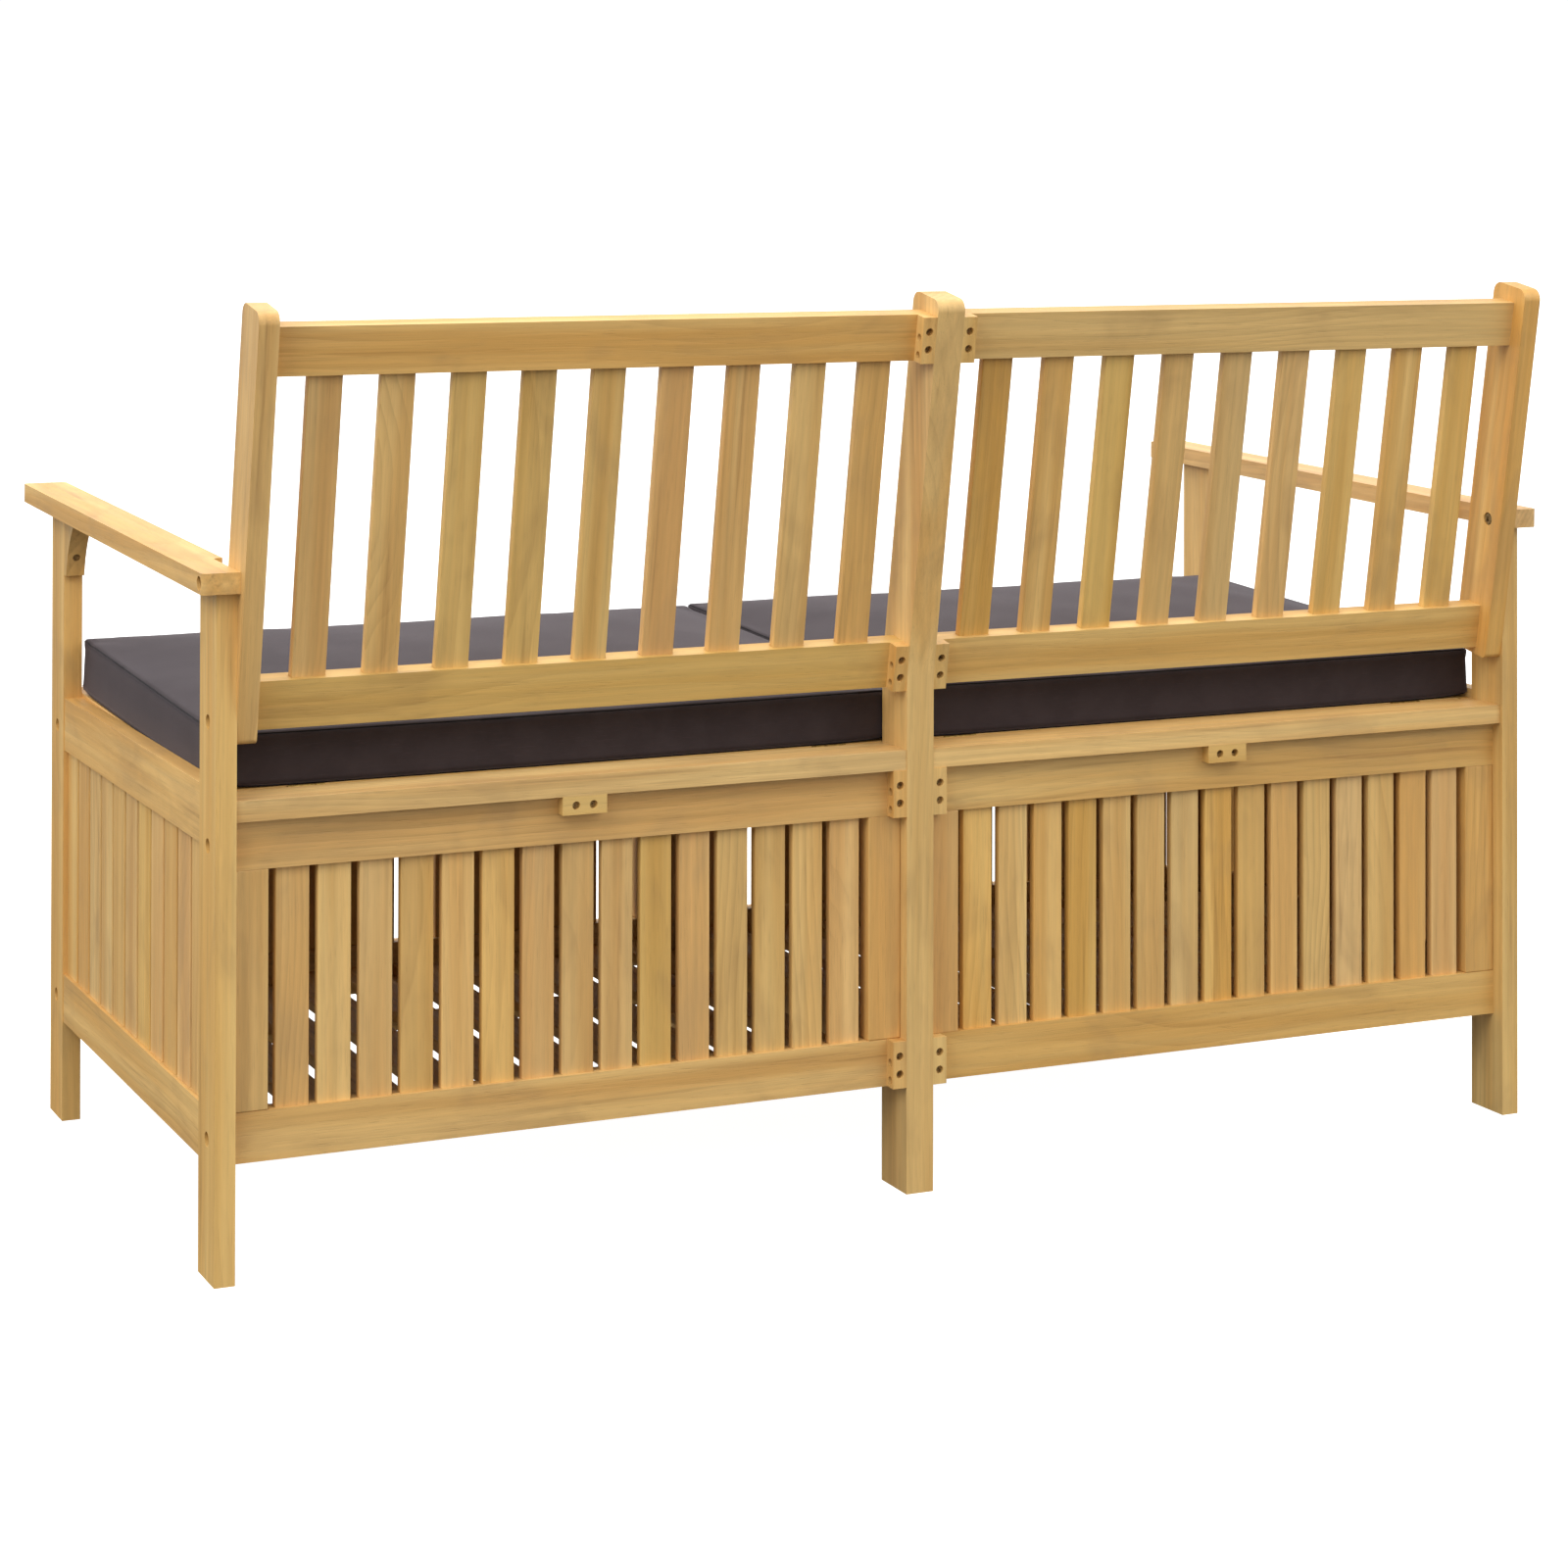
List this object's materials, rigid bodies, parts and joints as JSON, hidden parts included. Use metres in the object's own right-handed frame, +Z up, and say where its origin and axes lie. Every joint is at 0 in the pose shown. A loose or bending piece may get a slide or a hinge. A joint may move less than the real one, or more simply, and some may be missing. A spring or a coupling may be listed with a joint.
{
  "type": "garden storage bench",
  "caption": "Slatted wooden garden bench with a storage box under two hinged lids, slatted backrest, armrests and loose seat cushions.",
  "frame": {"origin": "on the ground under the middle of the whole bench", "axes": "+Z up, +X to the sitter's left, -Y towards the front, +Y towards the back"},
  "size_m": [1.494, 0.797, 0.908],
  "materials": {
    "frame_wood": "oiled light hardwood, long grain, satin",
    "slat_wood": "oiled light hardwood slats with board-to-board colour change",
    "block_wood": "oiled hardwood, slightly darker",
    "zinc_steel": "zinc-plated steel",
    "hinge_brass": "dull yellow-plated steel",
    "cushion_fabric": "smooth dark anthracite outdoor polyester"
  },
  "bodies": {
    "frame": {"leg_rear_left": "frame_wood", "leg_rear_right": "frame_wood", "leg_front_left": "frame_wood", "leg_front_right": "frame_wood", "post_rear": "frame_wood", "post_front": "frame_wood", "side_top_rail_left": "frame_wood", "side_top_rail_right": "frame_wood", "side_bottom_rail_left": "frame_wood", "side_bottom_rail_right": "frame_wood", "side_slats_left": "slat_wood", "side_slats_right": "slat_wood", "rear_top_rail_left": "frame_wood", "rear_top_rail_right": "frame_wood", "rear_bottom_rail_left": "frame_wood", "rear_bottom_rail_right": "frame_wood", "rear_stiles": "frame_wood", "rear_slats_left": "slat_wood", "rear_slats_right": "slat_wood", "front_top_rail_left": "frame_wood", "front_top_rail_right": "frame_wood", "front_bottom_rail_left": "frame_wood", "front_bottom_rail_right": "frame_wood", "front_stiles": "frame_wood", "front_slats_left": "slat_wood", "front_slats_right": "slat_wood", "centre_rails": "frame_wood", "floor_battens": "block_wood", "floor_slats": "slat_wood", "seat_board_left": "frame_wood", "seat_board_right": "frame_wood", "back_stile_left": "frame_wood", "back_stile_right": "frame_wood", "back_top_rail_left": "frame_wood", "back_top_rail_right": "frame_wood", "back_bottom_rail_left": "frame_wood", "back_bottom_rail_right": "frame_wood", "back_slats_left": "slat_wood", "back_slats_right": "slat_wood", "armrest_left": "frame_wood", "armrest_right": "frame_wood", "arm_brackets": "block_wood", "corner_blocks": "block_wood", "board_blocks": "block_wood", "frame_bolts": "zinc_steel", "bolt_nuts": "zinc_steel", "block_screws": "zinc_steel", "hinge_leaves_fixed": "hinge_brass", "hinge_pins": "zinc_steel", "seat_strips": "frame_wood"},
    "lid_left": {"lid_slats_left": "slat_wood", "lid_battens_left": "frame_wood", "hinge_leaves_left": "hinge_brass"},
    "cushion_left": {"cushion_left": "cushion_fabric"},
    "lid_right": {"lid_slats_right": "slat_wood", "lid_battens_right": "frame_wood", "hinge_leaves_right": "hinge_brass"},
    "cushion_right": {"cushion_right": "cushion_fabric"}
  },
  "joints": [
    {"name": "lid_left_hinge", "type": "hinge", "parent": "frame", "child": "lid_left", "pos_m": [0, 0.2714, 0.4435], "axis": [-1, 0, 0], "range_deg": [0, 46]},
    {"name": "cushion_left_slide", "type": "slide", "parent": "lid_left", "child": "cushion_left", "axis": [0, -0.9997, 0.0262], "range_m": [0, 0.16]},
    {"name": "lid_right_hinge", "type": "hinge", "parent": "frame", "child": "lid_right", "pos_m": [0, 0.2714, 0.4435], "axis": [-1, 0, 0], "range_deg": [0, 46]},
    {"name": "cushion_right_slide", "type": "slide", "parent": "lid_right", "child": "cushion_right", "axis": [0, -0.9997, 0.0262], "range_m": [0, 0.16]}
  ]
}
